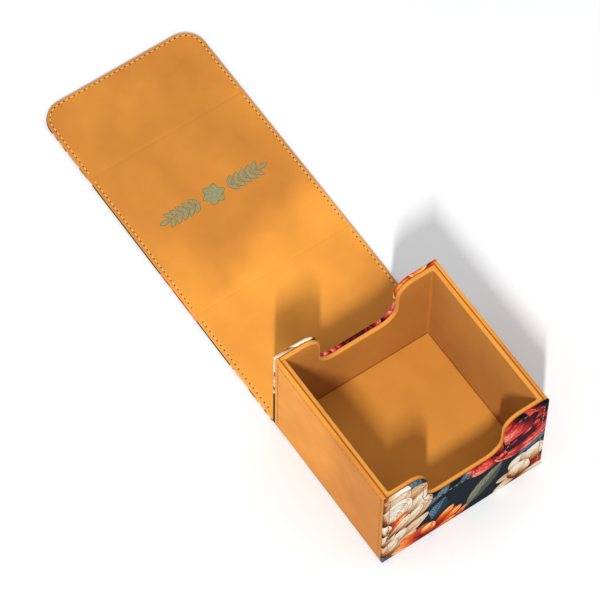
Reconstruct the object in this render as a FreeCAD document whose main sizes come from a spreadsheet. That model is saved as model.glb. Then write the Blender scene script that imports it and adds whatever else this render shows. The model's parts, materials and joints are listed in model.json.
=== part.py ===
import FreeCAD, Part
import math
import os
import Sketcher
from FreeCAD import Placement, Rotation, Vector

# A flip-top deck box: a notched, double-walled box with a three-panel flap that is hinged
# along the box's lower back edge. Outside it is leatherette over greyboard, inside it is a
# microfibre-covered sleeve. The flap is drawn lying open on the table.
#
# Frame: origin at the centre of the box's underside, X across the box, Y from the front wall
# towards the flap, Z up. Millimetres.

DIMENSIONS = {
    "box_width": 105.0,  # across X
    "box_depth": 103.0,  # front face to back face
    "box_height": 74.4,  # table to rim
    "cover_thickness": 0.8,  # leatherette skin
    "panel_board": 1.2,  # greyboard inside the outer walls
    "bottom_board": 1.6,
    "sleeve_gap": 0.3,  # joint between outer wall and inner sleeve
    "sleeve_board": 1.7,
    "lining_thickness": 0.8,  # microfibre on the sleeve and on the flap
    "sleeve_seam": 0.2,  # where the sleeve's lining closes, in the back left corner
    "floor_gap": 0.2,  # round the loose floor pad
    "floor_board": 1.4,
    "floor_lining": 0.6,
    "notch_half": 25.0,  # half the width between the notch's upright sides
    "notch_drop": 31.0,  # rim to the bottom of the notch
    "ear_radius": 10.5,  # outward curve at the notch's mouth
    "notch_radius": 10.0,  # inward curve at the notch's lower corners
    "flap_board": 0.8,
    "flap_length": 235.9,  # box back face to the flap's free edge
    "flap_corner": 13.0,  # radius of the two free corners
    "pivot_height": 1.2,  # hinge lines lie in the middle of the flap's thickness
    "shut_gap": 0.4,  # flap to box all round when shut
    "hinge_half": 1.5,  # half the width of a board-free hinge strip
    "magnet_radius": 5.0,
    "magnet_clearance": 0.1,
    "magnet_offset": 20.0,  # each side of the middle
    "magnet_reach": 43.0,  # front hinge line to the magnets' centres
    "stitch_pitch": 3.4,
    "stitch_length": 2.3,
    "stitch_width": 0.6,
    "stitch_rise": 0.12,
    "wall_seam_inset": 3.0,
    "flap_seam_inset": 2.4,
    "side_seam_inset": 2.6,
    "side_hem_drop": 4.2,
    "emblem_rise": 0.1,
    "emblem_half": 36.0,  # half the emblem's length across the lid
    "emblem_reach": 135.0,  # box back face to the emblem's middle
}

document = FreeCAD.newDocument("flip_deck_box")
sheet = document.addObject("Spreadsheet::Sheet", "Dimensions")
for row, (alias, number) in enumerate(DIMENSIONS.items(), start=1):
    sheet.set(f"A{row}", alias)
    sheet.set(f"B{row}", str(number))
    sheet.setAlias(f"B{row}", alias)
document.recompute()


class Size:
    """A length that carries both its value in millimetres and its formula on the sheet."""

    def __init__(self, value, formula):
        self.value = value
        self.formula = formula

    def __add__(self, other):
        other = as_size(other)
        return Size(self.value + other.value, f"({self.formula} + {other.formula})")

    def __sub__(self, other):
        other = as_size(other)
        return Size(self.value - other.value, f"({self.formula} - {other.formula})")

    def __mul__(self, factor):
        return Size(self.value * factor, f"({self.formula} * {factor})")

    def __truediv__(self, divisor):
        return Size(self.value / divisor, f"({self.formula} / {divisor})")

    def __neg__(self):
        return Size(-self.value, f"(0 - {self.formula})")


def as_size(number):
    """Let a plain number take part in a Size sum."""
    return number if isinstance(number, Size) else Size(float(number), str(number))


def dim(alias):
    """The named cell of the sheet, as a Size."""
    return Size(float(sheet.get(alias)), f"Dimensions.{alias}")


half_width = dim("box_width") / 2
half_depth = dim("box_depth") / 2
height = dim("box_height")
skin = dim("cover_thickness")
lining = dim("lining_thickness")
panel = skin + dim("panel_board")
sleeve = dim("sleeve_board") + lining

# The sleeve's outside stands a small joint inside the outer walls, on the bottom board.
sleeve_half_width = half_width - panel - dim("sleeve_gap")
sleeve_half_depth = half_depth - panel - dim("sleeve_gap")
sleeve_base = skin + dim("bottom_board")
inner_half_width = sleeve_half_width - sleeve
inner_half_depth = sleeve_half_depth - sleeve

# The flap lies on the table: cover below, lining above, board between them.
flap_top_face = skin + dim("flap_board") + lining
lining_reach = flap_top_face - dim("pivot_height")

# Hinge lines. Shut, the flap clears the back wall, the rim and the front wall by shut_gap.
rear_pivot = half_depth + lining_reach + dim("shut_gap")
rise_to_lid = height + dim("shut_gap") + lining_reach - dim("pivot_height")
top_pivot = rear_pivot + rise_to_lid
front_pivot = top_pivot + dim("box_depth") + (lining_reach + dim("shut_gap")) * 2
flap_end = half_depth + dim("flap_length")

nodes = []


def bind(thing, path, size):
    """Drive one property of a document object from the sheet."""
    thing.setExpression(path, size.formula)


def keep(thing, label):
    """Make a document object a sub-part of the box, under its own name."""
    thing.Label = label
    nodes.append(thing)
    return thing


def block(name, x, y, z):
    """A Part::Box between low and high sizes on each axis."""
    box = document.addObject("Part::Box", name)
    for side, axis, (low, high) in zip(("Length", "Width", "Height"), "xyz", (x, y, z)):
        bind(box, side, as_size(high) - low)
        bind(box, f"Placement.Base.{axis}", as_size(low))
    return box


def cut(name, base, tool):
    """A Part::Cut of one object from another."""
    result = document.addObject("Part::Cut", name)
    result.Base = base
    result.Tool = tool
    return result


def fuse(name, shapes):
    """A Part::MultiFuse of several objects, with merged faces."""
    result = document.addObject("Part::MultiFuse", name)
    result.Shapes = shapes
    result.Refine = True
    return result


def group(name, links):
    """A Part::Compound that holds separate solids as one sub-part."""
    result = document.addObject("Part::Compound", name)
    result.Links = links
    return result


def line(x1, y1, x2, y2):
    return Part.LineSegment(Vector(x1, y1, 0), Vector(x2, y2, 0))


def arc(x, y, radius, start_quarter):
    """A quarter circle that turns anticlockwise from a multiple of 90 degrees."""
    circle = Part.Circle(Vector(x, y, 0), Vector(0, 0, 1), radius)
    start = start_quarter * math.pi / 2
    return Part.ArcOfCircle(circle, start, start + math.pi / 2)


def notch_outline(half, base, top, inset):
    """The outline of a notched wall, inset evenly all round but at its foot.

    It runs anticlockwise from the lower left corner. The ears' and the notch's curves keep
    their centres at every inset, so covers, boards and seams run parallel.
    """
    a = (half - inset).value
    foot = base.value
    rim = (top - inset).value
    side = (dim("notch_half") + inset).value
    ear = (dim("ear_radius") - inset).value
    corner = (dim("notch_radius") + inset).value
    bed = (top - dim("notch_drop") - inset).value
    return [
        line(-a, foot, a, foot),
        line(a, foot, a, rim),
        line(a, rim, side + ear, rim),
        arc(side + ear, rim - ear, ear, 1),
        line(side, rim - ear, side, bed + corner),
        arc(side - corner, bed + corner, corner, 3),
        line(side - corner, bed, corner - side, bed),
        arc(corner - side, bed + corner, corner, 2),
        line(-side, bed + corner, -side, rim - ear),
        arc(-side - ear, rim - ear, ear, 0),
        line(-side - ear, rim, -a, rim),
        line(-a, rim, -a, foot),
    ]


def flap_outline(near, inset):
    """The outline of the flap's last panel, with two rounded free corners."""
    a = (half_width - inset).value
    start = near.value
    end = (flap_end - inset).value
    radius = (dim("flap_corner") - inset).value
    return [
        line(-a, start, a, start),
        line(a, start, a, end - radius),
        arc(a - radius, end - radius, radius, 0),
        line(a - radius, end, radius - a, end),
        arc(radius - a, end - radius, radius, 1),
        line(-a, end - radius, -a, start),
    ]


def add_sketch(body, role, offset, outline):
    """A sketch on one of the body's own origin planes, raised along the plane's normal."""
    sketch = body.newObject("Sketcher::SketchObject", f"{body.Name}_outline")
    plane = next(item for item in body.Origin.OriginFeatures if item.Role == role)
    sketch.AttachmentSupport = [(plane, "")]
    sketch.MapMode = "FlatFace"
    bind(sketch, "AttachmentOffset.Base.z", offset)
    sketch.addGeometry(outline, False)
    return sketch


def tie(sketch, pairs, kind):
    """Join the end of one edge to the end of another, coincident or tangent."""
    for first, first_end, second, second_end in pairs:
        sketch.addConstraint(Sketcher.Constraint(kind, first, first_end, second, second_end))


def mirror_ends(sketch, pairs):
    """Hold pairs of end points symmetric about the sketch's vertical axis."""
    for first, first_end, second, second_end in pairs:
        sketch.addConstraint(
            Sketcher.Constraint("Symmetric", first, first_end, second, second_end, -2)
        )


def measure(sketch, name, size, kind, *where):
    """Add a named dimension to a sketch and drive it from the sheet."""
    index = sketch.addConstraint(Sketcher.Constraint(kind, *where, size.value))
    sketch.renameConstraint(index, name)
    bind(sketch, f".Constraints.{name}", size)


def constrain_notch(sketch, half, base, top, inset):
    """Fully constrain a notch outline."""
    tie(sketch, [(0, 2, 1, 1), (1, 2, 2, 1), (10, 2, 11, 1), (11, 2, 0, 1)], "Coincident")
    tie(sketch, [(2, 2, 3, 1), (3, 2, 4, 1), (4, 2, 5, 2), (5, 1, 6, 1)], "Tangent")
    tie(sketch, [(6, 2, 7, 2), (7, 1, 8, 1), (8, 2, 9, 1), (9, 2, 10, 1)], "Tangent")
    for edge in (1, 4, 8, 11):
        sketch.addConstraint(Sketcher.Constraint("Vertical", edge))
    for edge in (2, 10):
        sketch.addConstraint(Sketcher.Constraint("Horizontal", edge))
    mirror_ends(sketch, [(0, 1, 0, 2), (6, 1, 6, 2), (3, 1, 9, 2)])
    sketch.addConstraint(Sketcher.Constraint("Equal", 3, 9))
    measure(sketch, "width", (half - inset) * 2, "DistanceX", 0, 1, 0, 2)
    measure(sketch, "foot", base, "DistanceY", -1, 1, 0, 1)
    measure(sketch, "rim", top - inset, "DistanceY", -1, 1, 2, 1)
    measure(sketch, "bed", top - dim("notch_drop") - inset, "DistanceY", -1, 1, 6, 1)
    measure(sketch, "opening", (dim("notch_half") + inset) * 2, "DistanceX", 8, 1, 4, 2)
    measure(sketch, "ear", dim("ear_radius") - inset, "Radius", 3)
    measure(sketch, "corner", dim("notch_radius") + inset, "Radius", 5)


def constrain_flap(sketch, near, inset):
    """Fully constrain a flap outline."""
    tie(sketch, [(0, 2, 1, 1), (5, 2, 0, 1)], "Coincident")
    tie(sketch, [(1, 2, 2, 1), (2, 2, 3, 1), (3, 2, 4, 1), (4, 2, 5, 1)], "Tangent")
    for edge in (1, 5):
        sketch.addConstraint(Sketcher.Constraint("Vertical", edge))
    mirror_ends(sketch, [(0, 1, 0, 2), (3, 1, 3, 2)])
    measure(sketch, "width", (half_width - inset) * 2, "DistanceX", 0, 1, 0, 2)
    measure(sketch, "near", near, "DistanceY", -1, 1, 0, 1)
    measure(sketch, "far", flap_end - inset, "DistanceY", -1, 1, 3, 1)
    measure(sketch, "corner", dim("flap_corner") - inset, "Radius", 2)


def pad(body, sketch, thickness):
    """Extrude a body's sketch along its plane's normal."""
    feature = body.newObject("PartDesign::Pad", f"{body.Name}_pad")
    feature.Profile = sketch
    bind(feature, "Length", thickness)
    body.Tip = feature


def notched_plate(name, half, y_low, y_high, base, top, inset):
    """An upright notched plate between two depths; the XZ plane's normal is -Y."""
    body = document.addObject("PartDesign::Body", name)
    sketch = add_sketch(body, "XZ_Plane", -as_size(y_high), notch_outline(half, base, top, inset))
    constrain_notch(sketch, half, base, top, inset)
    pad(body, sketch, y_high - y_low)
    return body


def flap_plate(name, near, z_low, z_high, inset):
    """A flat plate with the outline of the flap's last panel."""
    body = document.addObject("PartDesign::Body", name)
    sketch = add_sketch(body, "XY_Plane", z_low, flap_outline(near, inset))
    constrain_flap(sketch, near, inset)
    pad(body, sketch, z_high - z_low)
    return body


def disc_pair(name, radius, centre_y, centre_z, thickness, turn):
    """Two equal discs, one each side of the middle, each a Part::Cylinder."""
    discs = []
    for side, sign in (("left", -1), ("right", 1)):
        disc = document.addObject("Part::Cylinder", f"{name}_{side}")
        disc.Placement = Placement(Vector(), turn)
        bind(disc, "Radius", radius)
        bind(disc, "Height", thickness)
        bind(disc, "Placement.Base.x", dim("magnet_offset") * sign)
        bind(disc, "Placement.Base.y", centre_y)
        bind(disc, "Placement.Base.z", centre_z)
        discs.append(disc)
    return discs


def make_notched_walls():
    """Front and back walls: a board inside a skin that turns over every edge but the foot."""
    zero = as_size(0)
    magnet_height = dim("pivot_height") + rise_to_lid - dim("magnet_reach")
    hole_radius = dim("magnet_radius") + dim("magnet_clearance")
    lying = Rotation(Vector(1, 0, 0), 90)
    for side, outer, inner in (
        ("front", -half_depth, panel - half_depth),
        ("back", half_depth, half_depth - panel),
    ):
        faces = (outer, inner) if side == "front" else (inner, outer)
        skinned = (outer + skin, inner) if side == "front" else (inner, outer - skin)
        blank = notched_plate(f"{side}_cover_blank", half_width, *faces, skin, height, zero)
        board = notched_plate(f"{side}_board_blank", half_width, *skinned, skin, height, skin)
        keep(cut(f"{side}_cover_cut", blank, board), f"{side}_cover")
        if side == "back":
            keep(board, "back_board")
            continue
        depth = dim("panel_board")
        holes = disc_pair("wall_magnet_hole", hole_radius, inner, magnet_height, depth, lying)
        magnets = disc_pair(
            "wall_magnet", dim("magnet_radius"), inner, magnet_height, depth, lying
        )
        keep(cut("front_board_cut", board, fuse("wall_magnet_holes", holes)), "front_board")
        keep(group("wall_magnet_pair", magnets), "wall_magnets")


def make_side_walls():
    """Left and right walls stand between the notched walls; their skin turns over the rim."""
    length = (panel - half_depth, half_depth - panel)
    for side, outer, inner, sign in (
        ("left", -half_width, panel - half_width, 1),
        ("right", half_width, half_width - panel, -1),
    ):
        face = outer + skin * sign
        across = (outer, inner) if sign > 0 else (inner, outer)
        behind = (face, inner) if sign > 0 else (inner, face)
        blank = block(f"{side}_cover_blank", across, length, (skin, height))
        board = block(f"{side}_board_block", behind, length, (skin, height - skin))
        keep(board, f"{side}_board")
        keep(cut(f"{side}_cover_cut", blank, board), f"{side}_cover")


def make_bottom():
    """The outer skin under the box and the board that the walls stand round."""
    across = (-half_width, half_width)
    along = (-half_depth, half_depth)
    keep(block("bottom_cover_block", across, along, (0, skin)), "bottom_cover")
    across = (panel - half_width, half_width - panel)
    along = (panel - half_depth, half_depth - panel)
    keep(block("bottom_board_block", across, along, (skin, sleeve_base)), "bottom_board")


def make_sleeve():
    """The inner sleeve: four boards wrapped by one lining that closes in a corner seam."""
    zero = as_size(0)
    back = (inner_half_depth, sleeve_half_depth)
    front = (-sleeve_half_depth, -inner_half_depth)
    half = sleeve_half_width
    board = dim("sleeve_board")
    back_board = (sleeve_half_depth - board, sleeve_half_depth)
    front_board = (-sleeve_half_depth, board - sleeve_half_depth)
    blanks = [
        notched_plate("sleeve_front_blank", half, *front, sleeve_base, height, zero),
        notched_plate("sleeve_back_blank", half, *back, sleeve_base, height, zero),
    ]
    boards = []
    for side, reach in (("front", front_board), ("back", back_board)):
        plate = notched_plate(
            f"{side}_sleeve_plate", half + lining, *reach, sleeve_base, height, lining
        )
        boards.append(keep(plate, f"{side}_sleeve_board"))
    between = (board - sleeve_half_depth, sleeve_half_depth - board)
    for side, wall, core in (
        ("left", (-half, -inner_half_width), (-half, board - half)),
        ("right", (inner_half_width, half), (half - board, half)),
    ):
        blanks.append(
            block(f"sleeve_{side}_blank", wall, (front[1], back[0]), (sleeve_base, height))
        )
        plate = block(f"{side}_sleeve_block", core, between, (sleeve_base, height - lining))
        boards.append(keep(plate, f"{side}_sleeve_board"))
    seam_reach = (inner_half_depth - dim("sleeve_seam"), inner_half_depth)
    seam = block("sleeve_seam", (-half, -inner_half_width), seam_reach, (sleeve_base, height))
    ring = fuse("sleeve_ring", blanks)
    hollow = fuse("sleeve_hollow", boards + [seam])
    keep(cut("sleeve_lining_cut", ring, hollow), "sleeve_lining")


def make_floor_pad():
    """The loose pad on the box's floor: a board with lining over its top and edges."""
    across = inner_half_width - dim("floor_gap")
    along = inner_half_depth - dim("floor_gap")
    trim = dim("floor_lining")
    board_top = sleeve_base + dim("floor_board")
    blank = block(
        "floor_lining_blank",
        (-across, across),
        (-along, along),
        (sleeve_base, board_top + trim),
    )
    board = block(
        "floor_board_block",
        (trim - across, across - trim),
        (trim - along, along - trim),
        (sleeve_base, board_top),
    )
    keep(board, "floor_board")
    keep(cut("floor_lining_cut", blank, board), "floor_lining")


def make_plain_flap_panel(name, near, far):
    """A straight flap panel: cover below, board, and a lining that turns down its two sides."""
    across = (-half_width, half_width)
    inside = (lining - half_width, half_width - lining)
    board_top = skin + dim("flap_board")
    keep(block(f"{name}_cover_block", across, (near, far), (0, skin)), f"{name}_cover")
    blank = block(f"{name}_lining_blank", across, (near, far), (skin, flap_top_face))
    board = block(f"{name}_board_block", inside, (near, far), (skin, board_top))
    keep(board, f"{name}_board")
    keep(cut(f"{name}_lining_cut", blank, board), f"{name}_lining")


def make_flap():
    """The three flap panels, each a little short of its hinge lines."""
    half_hinge = dim("hinge_half")
    make_plain_flap_panel("flap_back", rear_pivot + half_hinge, top_pivot - half_hinge)
    make_plain_flap_panel("flap_top", top_pivot + half_hinge, front_pivot - half_hinge)
    near = front_pivot + half_hinge
    zero = as_size(0)
    board_top = skin + dim("flap_board")
    keep(flap_plate("flap_front_cover_plate", near, zero, skin, zero), "flap_front_cover")
    blank = flap_plate("flap_front_lining_blank", near, skin, flap_top_face, zero)
    board = flap_plate("flap_front_board_blank", near, skin, board_top, lining)
    keep(cut("flap_front_lining_cut", blank, board), "flap_front_lining")
    centre = front_pivot + dim("magnet_reach")
    upright = Rotation()
    depth = dim("flap_board")
    hole_radius = dim("magnet_radius") + dim("magnet_clearance")
    holes = disc_pair("flap_magnet_hole", hole_radius, centre, skin, depth, upright)
    magnets = disc_pair("flap_magnet", dim("magnet_radius"), centre, skin, depth, upright)
    holed = cut("flap_front_board_cut", board, fuse("flap_magnet_holes", holes))
    keep(holed, "flap_front_board")
    keep(group("flap_magnet_pair", magnets), "flap_magnets")


def make_hinges():
    """Board-free strips of cover and lining that fold between the rigid panels."""
    half_hinge = dim("hinge_half")
    for name, near, far in (
        ("rear_hinge", half_depth, rear_pivot + half_hinge),
        ("top_hinge", top_pivot - half_hinge, top_pivot + half_hinge),
        ("front_hinge", front_pivot - half_hinge, front_pivot + half_hinge),
    ):
        across = (-half_width, half_width)
        for layer, low, high in (("cover", 0, skin), ("lining", skin, skin + lining)):
            keep(block(f"{name}_{layer}_strip", across, (near, far), (low, high)), f"{name}_{layer}")


def stitch_run(edges, stand):
    """Stitches at an even pitch along flat edges, each a small bar on the face z = 0.

    stand is the placement that carries the flat edges' plane onto the sewn face.
    """
    length = dim("stitch_length").value
    width = dim("stitch_width").value
    rise = dim("stitch_rise").value
    pitch = dim("stitch_pitch").value
    bars = []
    for edge in edges:
        count = int(edge.Length // pitch)
        for index in range(count):
            along = edge.getParameterByLength(edge.Length * (index + 0.5) / count)
            centre = edge.valueAt(along)
            tangent = edge.tangentAt(along)
            bar = Part.makeBox(length, width, rise)
            bar.translate(Vector(-length / 2, -width / 2, 0))
            turn = Rotation(Vector(0, 0, 1), math.degrees(math.atan2(tangent.y, tangent.x)))
            bar.Placement = stand * Placement(centre, turn) * bar.Placement
            bars.append(bar)
    return bars


def keep_stitches(label, bars):
    """One sub-part that holds a seam's separate stitches."""
    feature = document.addObject("Part::Feature", f"{label}_bars")
    feature.Shape = Part.makeCompound(bars)
    keep(feature, label)


def straight(x1, y1, x2, y2):
    return line(x1, y1, x2, y2).toShape()


def make_wall_stitching():
    """Seams on the box: round the notched walls and down both ends of the side walls."""
    upright = Rotation(Vector(1, 0, 0), 90)
    inset = dim("wall_seam_inset")
    contour = notch_outline(half_width, inset, height, inset)[1:]
    edges = [curve.toShape() for curve in contour]
    front = Placement(Vector(0, -half_depth.value, 0), upright)
    facing_back = Placement(Vector(), Rotation(Vector(0, 0, 1), 180))
    back = facing_back * front
    keep_stitches("front_wall_stitching", stitch_run(edges, front))
    keep_stitches("back_wall_stitching", stitch_run(edges, back))
    reach = (half_depth - panel - dim("side_seam_inset")).value
    foot = (skin + inset).value
    hem = (height - dim("side_hem_drop")).value
    seams = [
        straight(-reach, foot, -reach, hem),
        straight(reach, foot, reach, hem),
        straight(-reach, hem, reach, hem),
    ]
    right = Placement(Vector(half_width.value, 0, 0), Rotation(Vector(0, 0, 1), 90) * upright)
    left = Placement(Vector(), Rotation(Vector(0, 0, 1), 180)) * right
    keep_stitches("right_wall_stitching", stitch_run(seams, right))
    keep_stitches("left_wall_stitching", stitch_run(seams, left))


def make_flap_stitching():
    """The seam along the flap's sides and round its free end, panel by panel."""
    face = Placement(Vector(0, 0, flap_top_face.value), Rotation())
    side = (half_width - dim("flap_seam_inset")).value
    margin = dim("hinge_half").value
    for name, near, far in (
        ("flap_back", rear_pivot.value, top_pivot.value),
        ("flap_top", top_pivot.value, front_pivot.value),
    ):
        runs = [
            straight(sign * side, near + margin, sign * side, far - margin) for sign in (-1, 1)
        ]
        keep_stitches(f"{name}_stitching", stitch_run(runs, face))
    outline = flap_outline(front_pivot + dim("hinge_half"), dim("flap_seam_inset"))[1:]
    edges = [curve.toShape() for curve in outline]
    keep_stitches("flap_front_stitching", stitch_run(edges, face))


def leaf(x, y, length, width, turn):
    """A pointed leaf outline, as a thin solid lying on z = 0."""
    tip = Vector(length, 0, 0)
    upper = Part.Arc(Vector(), Vector(length / 2, width / 2, 0), tip).toShape()
    lower = Part.Arc(tip, Vector(length / 2, -width / 2, 0), Vector()).toShape()
    rise = dim("emblem_rise").value
    solid = Part.Face(Part.Wire([upper, lower])).extrude(Vector(0, 0, rise))
    solid.rotate(Vector(), Vector(0, 0, 1), turn)
    solid.translate(Vector(x, y, 0))
    return solid


def make_emblem():
    """A foil ornament on the lid's lining: a small rosette between two leafy sprigs."""
    rise = dim("emblem_rise").value
    reach = dim("emblem_half").value
    rosette_radius = 7.0
    petals = 6
    petal_width = 4.9
    button_radius = 2.1
    stem_start = rosette_radius + 2.0
    leaf_length = 6.5
    leaf_width = 2.6
    pairs = 4
    lean_angle = 50
    shapes = [Part.makeCylinder(button_radius, rise)]
    for index in range(petals):
        shapes.append(leaf(0, 0, rosette_radius, petal_width, index * 360 / petals))
    stem_width = 0.7
    stem_length = reach - leaf_length - stem_start
    stem_overlap = 1.0
    for sign in (-1, 1):
        stem = Part.makeBox(stem_length + stem_overlap, stem_width, rise)
        stem.translate(Vector(stem_start, -stem_width / 2, 0))
        parts = [stem, leaf(stem_start + stem_length, 0, leaf_length, leaf_width, 0)]
        for index in range(pairs):
            foot = stem_start + stem_length * (index + 0.5) / pairs
            for lean in (-1, 1):
                parts.append(leaf(foot, 0, leaf_length, leaf_width, lean * lean_angle))
        sprig = parts[0].multiFuse(parts[1:])
        if sign < 0:
            sprig.rotate(Vector(), Vector(0, 0, 1), 180)
        shapes.append(sprig)
    rosette = shapes[0].multiFuse(shapes[1 : petals + 1])
    emblem = Part.makeCompound([rosette] + shapes[petals + 1 :])
    emblem.translate(
        Vector(0, (half_depth + dim("emblem_reach")).value, flap_top_face.value)
    )
    feature = document.addObject("Part::Feature", "lid_emblem_foil")
    feature.Shape = emblem
    keep(feature, "lid_emblem")


make_notched_walls()
make_side_walls()
make_bottom()
make_sleeve()
make_floor_pad()
make_flap()
make_hinges()
make_wall_stitching()
make_flap_stitching()
make_emblem()
document.recompute()

for thing in document.Objects:
    if "Invalid" in thing.State or "Error" in thing.State:
        raise RuntimeError(f"{thing.Label} did not build: {thing.State}")
    if thing.TypeId == "Sketcher::SketchObject" and not thing.FullyConstrained:
        raise RuntimeError(f"{thing.Label} is not fully constrained")

os.makedirs("parts", exist_ok=True)
for thing in nodes:
    if thing.Shape.isNull() or not thing.Shape.isValid():
        raise RuntimeError(f"{thing.Label} has no valid shape")
    thing.Shape.exportStep(os.path.join("parts", f"{thing.Label}.step"))
    box = thing.Shape.BoundBox
    print(
        f"{thing.Label:24s} solids {len(thing.Shape.Solids):3d} volume {thing.Shape.Volume:9.1f}"
        f"  x {box.XMin:7.2f} {box.XMax:7.2f}  y {box.YMin:7.2f} {box.YMax:7.2f}"
        f"  z {box.ZMin:6.2f} {box.ZMax:6.2f}"
    )
print(len(nodes), "sub-parts")
print("hinge lines at y", rear_pivot.value, top_pivot.value, front_pivot.value)
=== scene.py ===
import json
import math

import bpy
import numpy as np
from mathutils import Matrix, Vector


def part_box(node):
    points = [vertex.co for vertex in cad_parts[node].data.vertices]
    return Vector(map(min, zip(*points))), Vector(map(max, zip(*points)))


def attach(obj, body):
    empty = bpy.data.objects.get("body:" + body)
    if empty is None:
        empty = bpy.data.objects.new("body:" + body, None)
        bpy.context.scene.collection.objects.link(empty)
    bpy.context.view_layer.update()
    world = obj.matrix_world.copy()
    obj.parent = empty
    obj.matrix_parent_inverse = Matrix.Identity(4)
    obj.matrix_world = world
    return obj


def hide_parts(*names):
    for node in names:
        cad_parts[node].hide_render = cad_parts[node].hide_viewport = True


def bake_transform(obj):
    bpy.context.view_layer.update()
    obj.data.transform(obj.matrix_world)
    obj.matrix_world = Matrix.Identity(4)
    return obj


# The looks of a leatherette flip-top deck box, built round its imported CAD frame. Shapes are
# worked out in millimetres and turned into metres where a mesh is made.

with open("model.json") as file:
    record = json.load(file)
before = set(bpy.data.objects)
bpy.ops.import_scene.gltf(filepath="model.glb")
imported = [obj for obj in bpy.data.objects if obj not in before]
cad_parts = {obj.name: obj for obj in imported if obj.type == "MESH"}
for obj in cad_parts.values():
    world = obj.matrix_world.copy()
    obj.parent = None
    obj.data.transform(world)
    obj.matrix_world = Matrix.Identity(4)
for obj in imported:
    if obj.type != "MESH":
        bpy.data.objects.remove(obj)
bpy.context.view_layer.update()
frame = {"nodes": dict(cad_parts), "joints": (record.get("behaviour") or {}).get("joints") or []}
MM = 0.001


def extent(node):
    """Lowest and highest corner of a CAD node, in millimetres."""
    low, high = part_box(node)
    return low / MM, high / MM


# Places from the frame.
bottom_high = extent("bottom_cover")[1]
half_width = bottom_high.x
half_depth = bottom_high.y
SKIN = bottom_high.z
wall_low, wall_high = extent("back_cover")
height = wall_high.z
PANEL = wall_high.y - wall_low.y
sleeve_low, sleeve_high = extent("sleeve_lining")
pad_low, pad_high = extent("floor_lining")
flap_face = extent("flap_back_lining")[1].z
flap_end = extent("flap_front_lining")[1].y

# Sizes the frame doesn't give directly.
SLEEVE = 2.5
NOTCH_HALF = 25.0
NOTCH_DROP = 31.0
EAR_RADIUS = 10.5
NOTCH_RADIUS = 10.0
FLAP_CORNER = 13.0
STITCH_PITCH = 3.4
STITCH_LENGTH = 2.3
SEAM_SINK = 0.12  # how far the stitches lie under the face
WALL_SEAM = 3.0
FLAP_SEAM = 2.0
SIDE_SEAM = 2.6
HEM_DROP = 4.2
UV_UNIT = 100.0  # millimetres of surface for one unit of texture coordinate


# ---------------------------------------------------------------- camera, light and floor


def make_camera():
    """A long lens from the front left, high up."""
    azimuth, elevation, roll = (math.radians(angle) for angle in (35.44, 61.26, 0.96))
    distance = 2.0054
    aim = Vector((0.00227, 0.10457, 0.0))
    ground = math.cos(elevation)
    back = Vector((-math.sin(azimuth) * ground, -math.cos(azimuth) * ground, math.sin(elevation)))
    flat = Vector((0, 0, 1)).cross(back).normalized()
    right = flat * math.cos(roll) + back.cross(flat) * math.sin(roll)
    turn = Matrix((right, back.cross(right), back)).transposed().to_4x4()
    data = bpy.data.cameras.new("camera")
    data.sensor_width = 36.0
    data.lens = 217.64
    data.clip_end = 20.0
    camera = bpy.data.objects.new("camera", data)
    camera.matrix_world = Matrix.Translation(aim + back * distance) @ turn
    bpy.context.scene.collection.objects.link(camera)
    bpy.context.scene.camera = camera


def make_light():
    """A tall narrow soft box at the front left and an even white surround."""
    towards = Vector((-46.8, -61.5, 80.5)).normalized()
    distance = 3.0
    degrees_wide, degrees_tall = 1.5, 8.5  # as seen from the object
    light_on_object = 3.75
    surround_strength = 1.08
    key = bpy.data.lights.new("key", "AREA")
    key.shape = "RECTANGLE"
    key.size = distance * math.radians(degrees_wide)
    key.size_y = distance * math.radians(degrees_tall)
    key.energy = light_on_object * math.pi * distance**2
    key.color = (1.0, 0.985, 0.96)
    lamp = bpy.data.objects.new("key", key)
    lamp.rotation_euler = towards.to_track_quat("Z", "Y").to_euler()
    lamp.location = towards * distance
    bpy.context.scene.collection.objects.link(lamp)
    world = bpy.data.worlds.new("surround")
    world.use_nodes = True
    background = world.node_tree.nodes["Background"]
    background.inputs["Color"].default_value = (1.0, 1.0, 1.0, 1.0)
    background.inputs["Strength"].default_value = surround_strength
    bpy.context.scene.world = world
    bpy.context.scene.view_settings.view_transform = "Standard"


def make_floor(material):
    """A plain pale floor just under the object."""
    reach = 3.0
    drop = 0.0002
    corners = [(-reach, -reach), (reach, -reach), (reach, reach), (-reach, reach)]
    mesh = bpy.data.meshes.new("floor")
    mesh.from_pydata([(x, y, -drop) for x, y in corners], [], [(0, 1, 2, 3)])
    floor = bpy.data.objects.new("floor", mesh)
    mesh.materials.append(material)
    bpy.context.scene.collection.objects.link(floor)


# ---------------------------------------------------------------- node graphs


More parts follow.
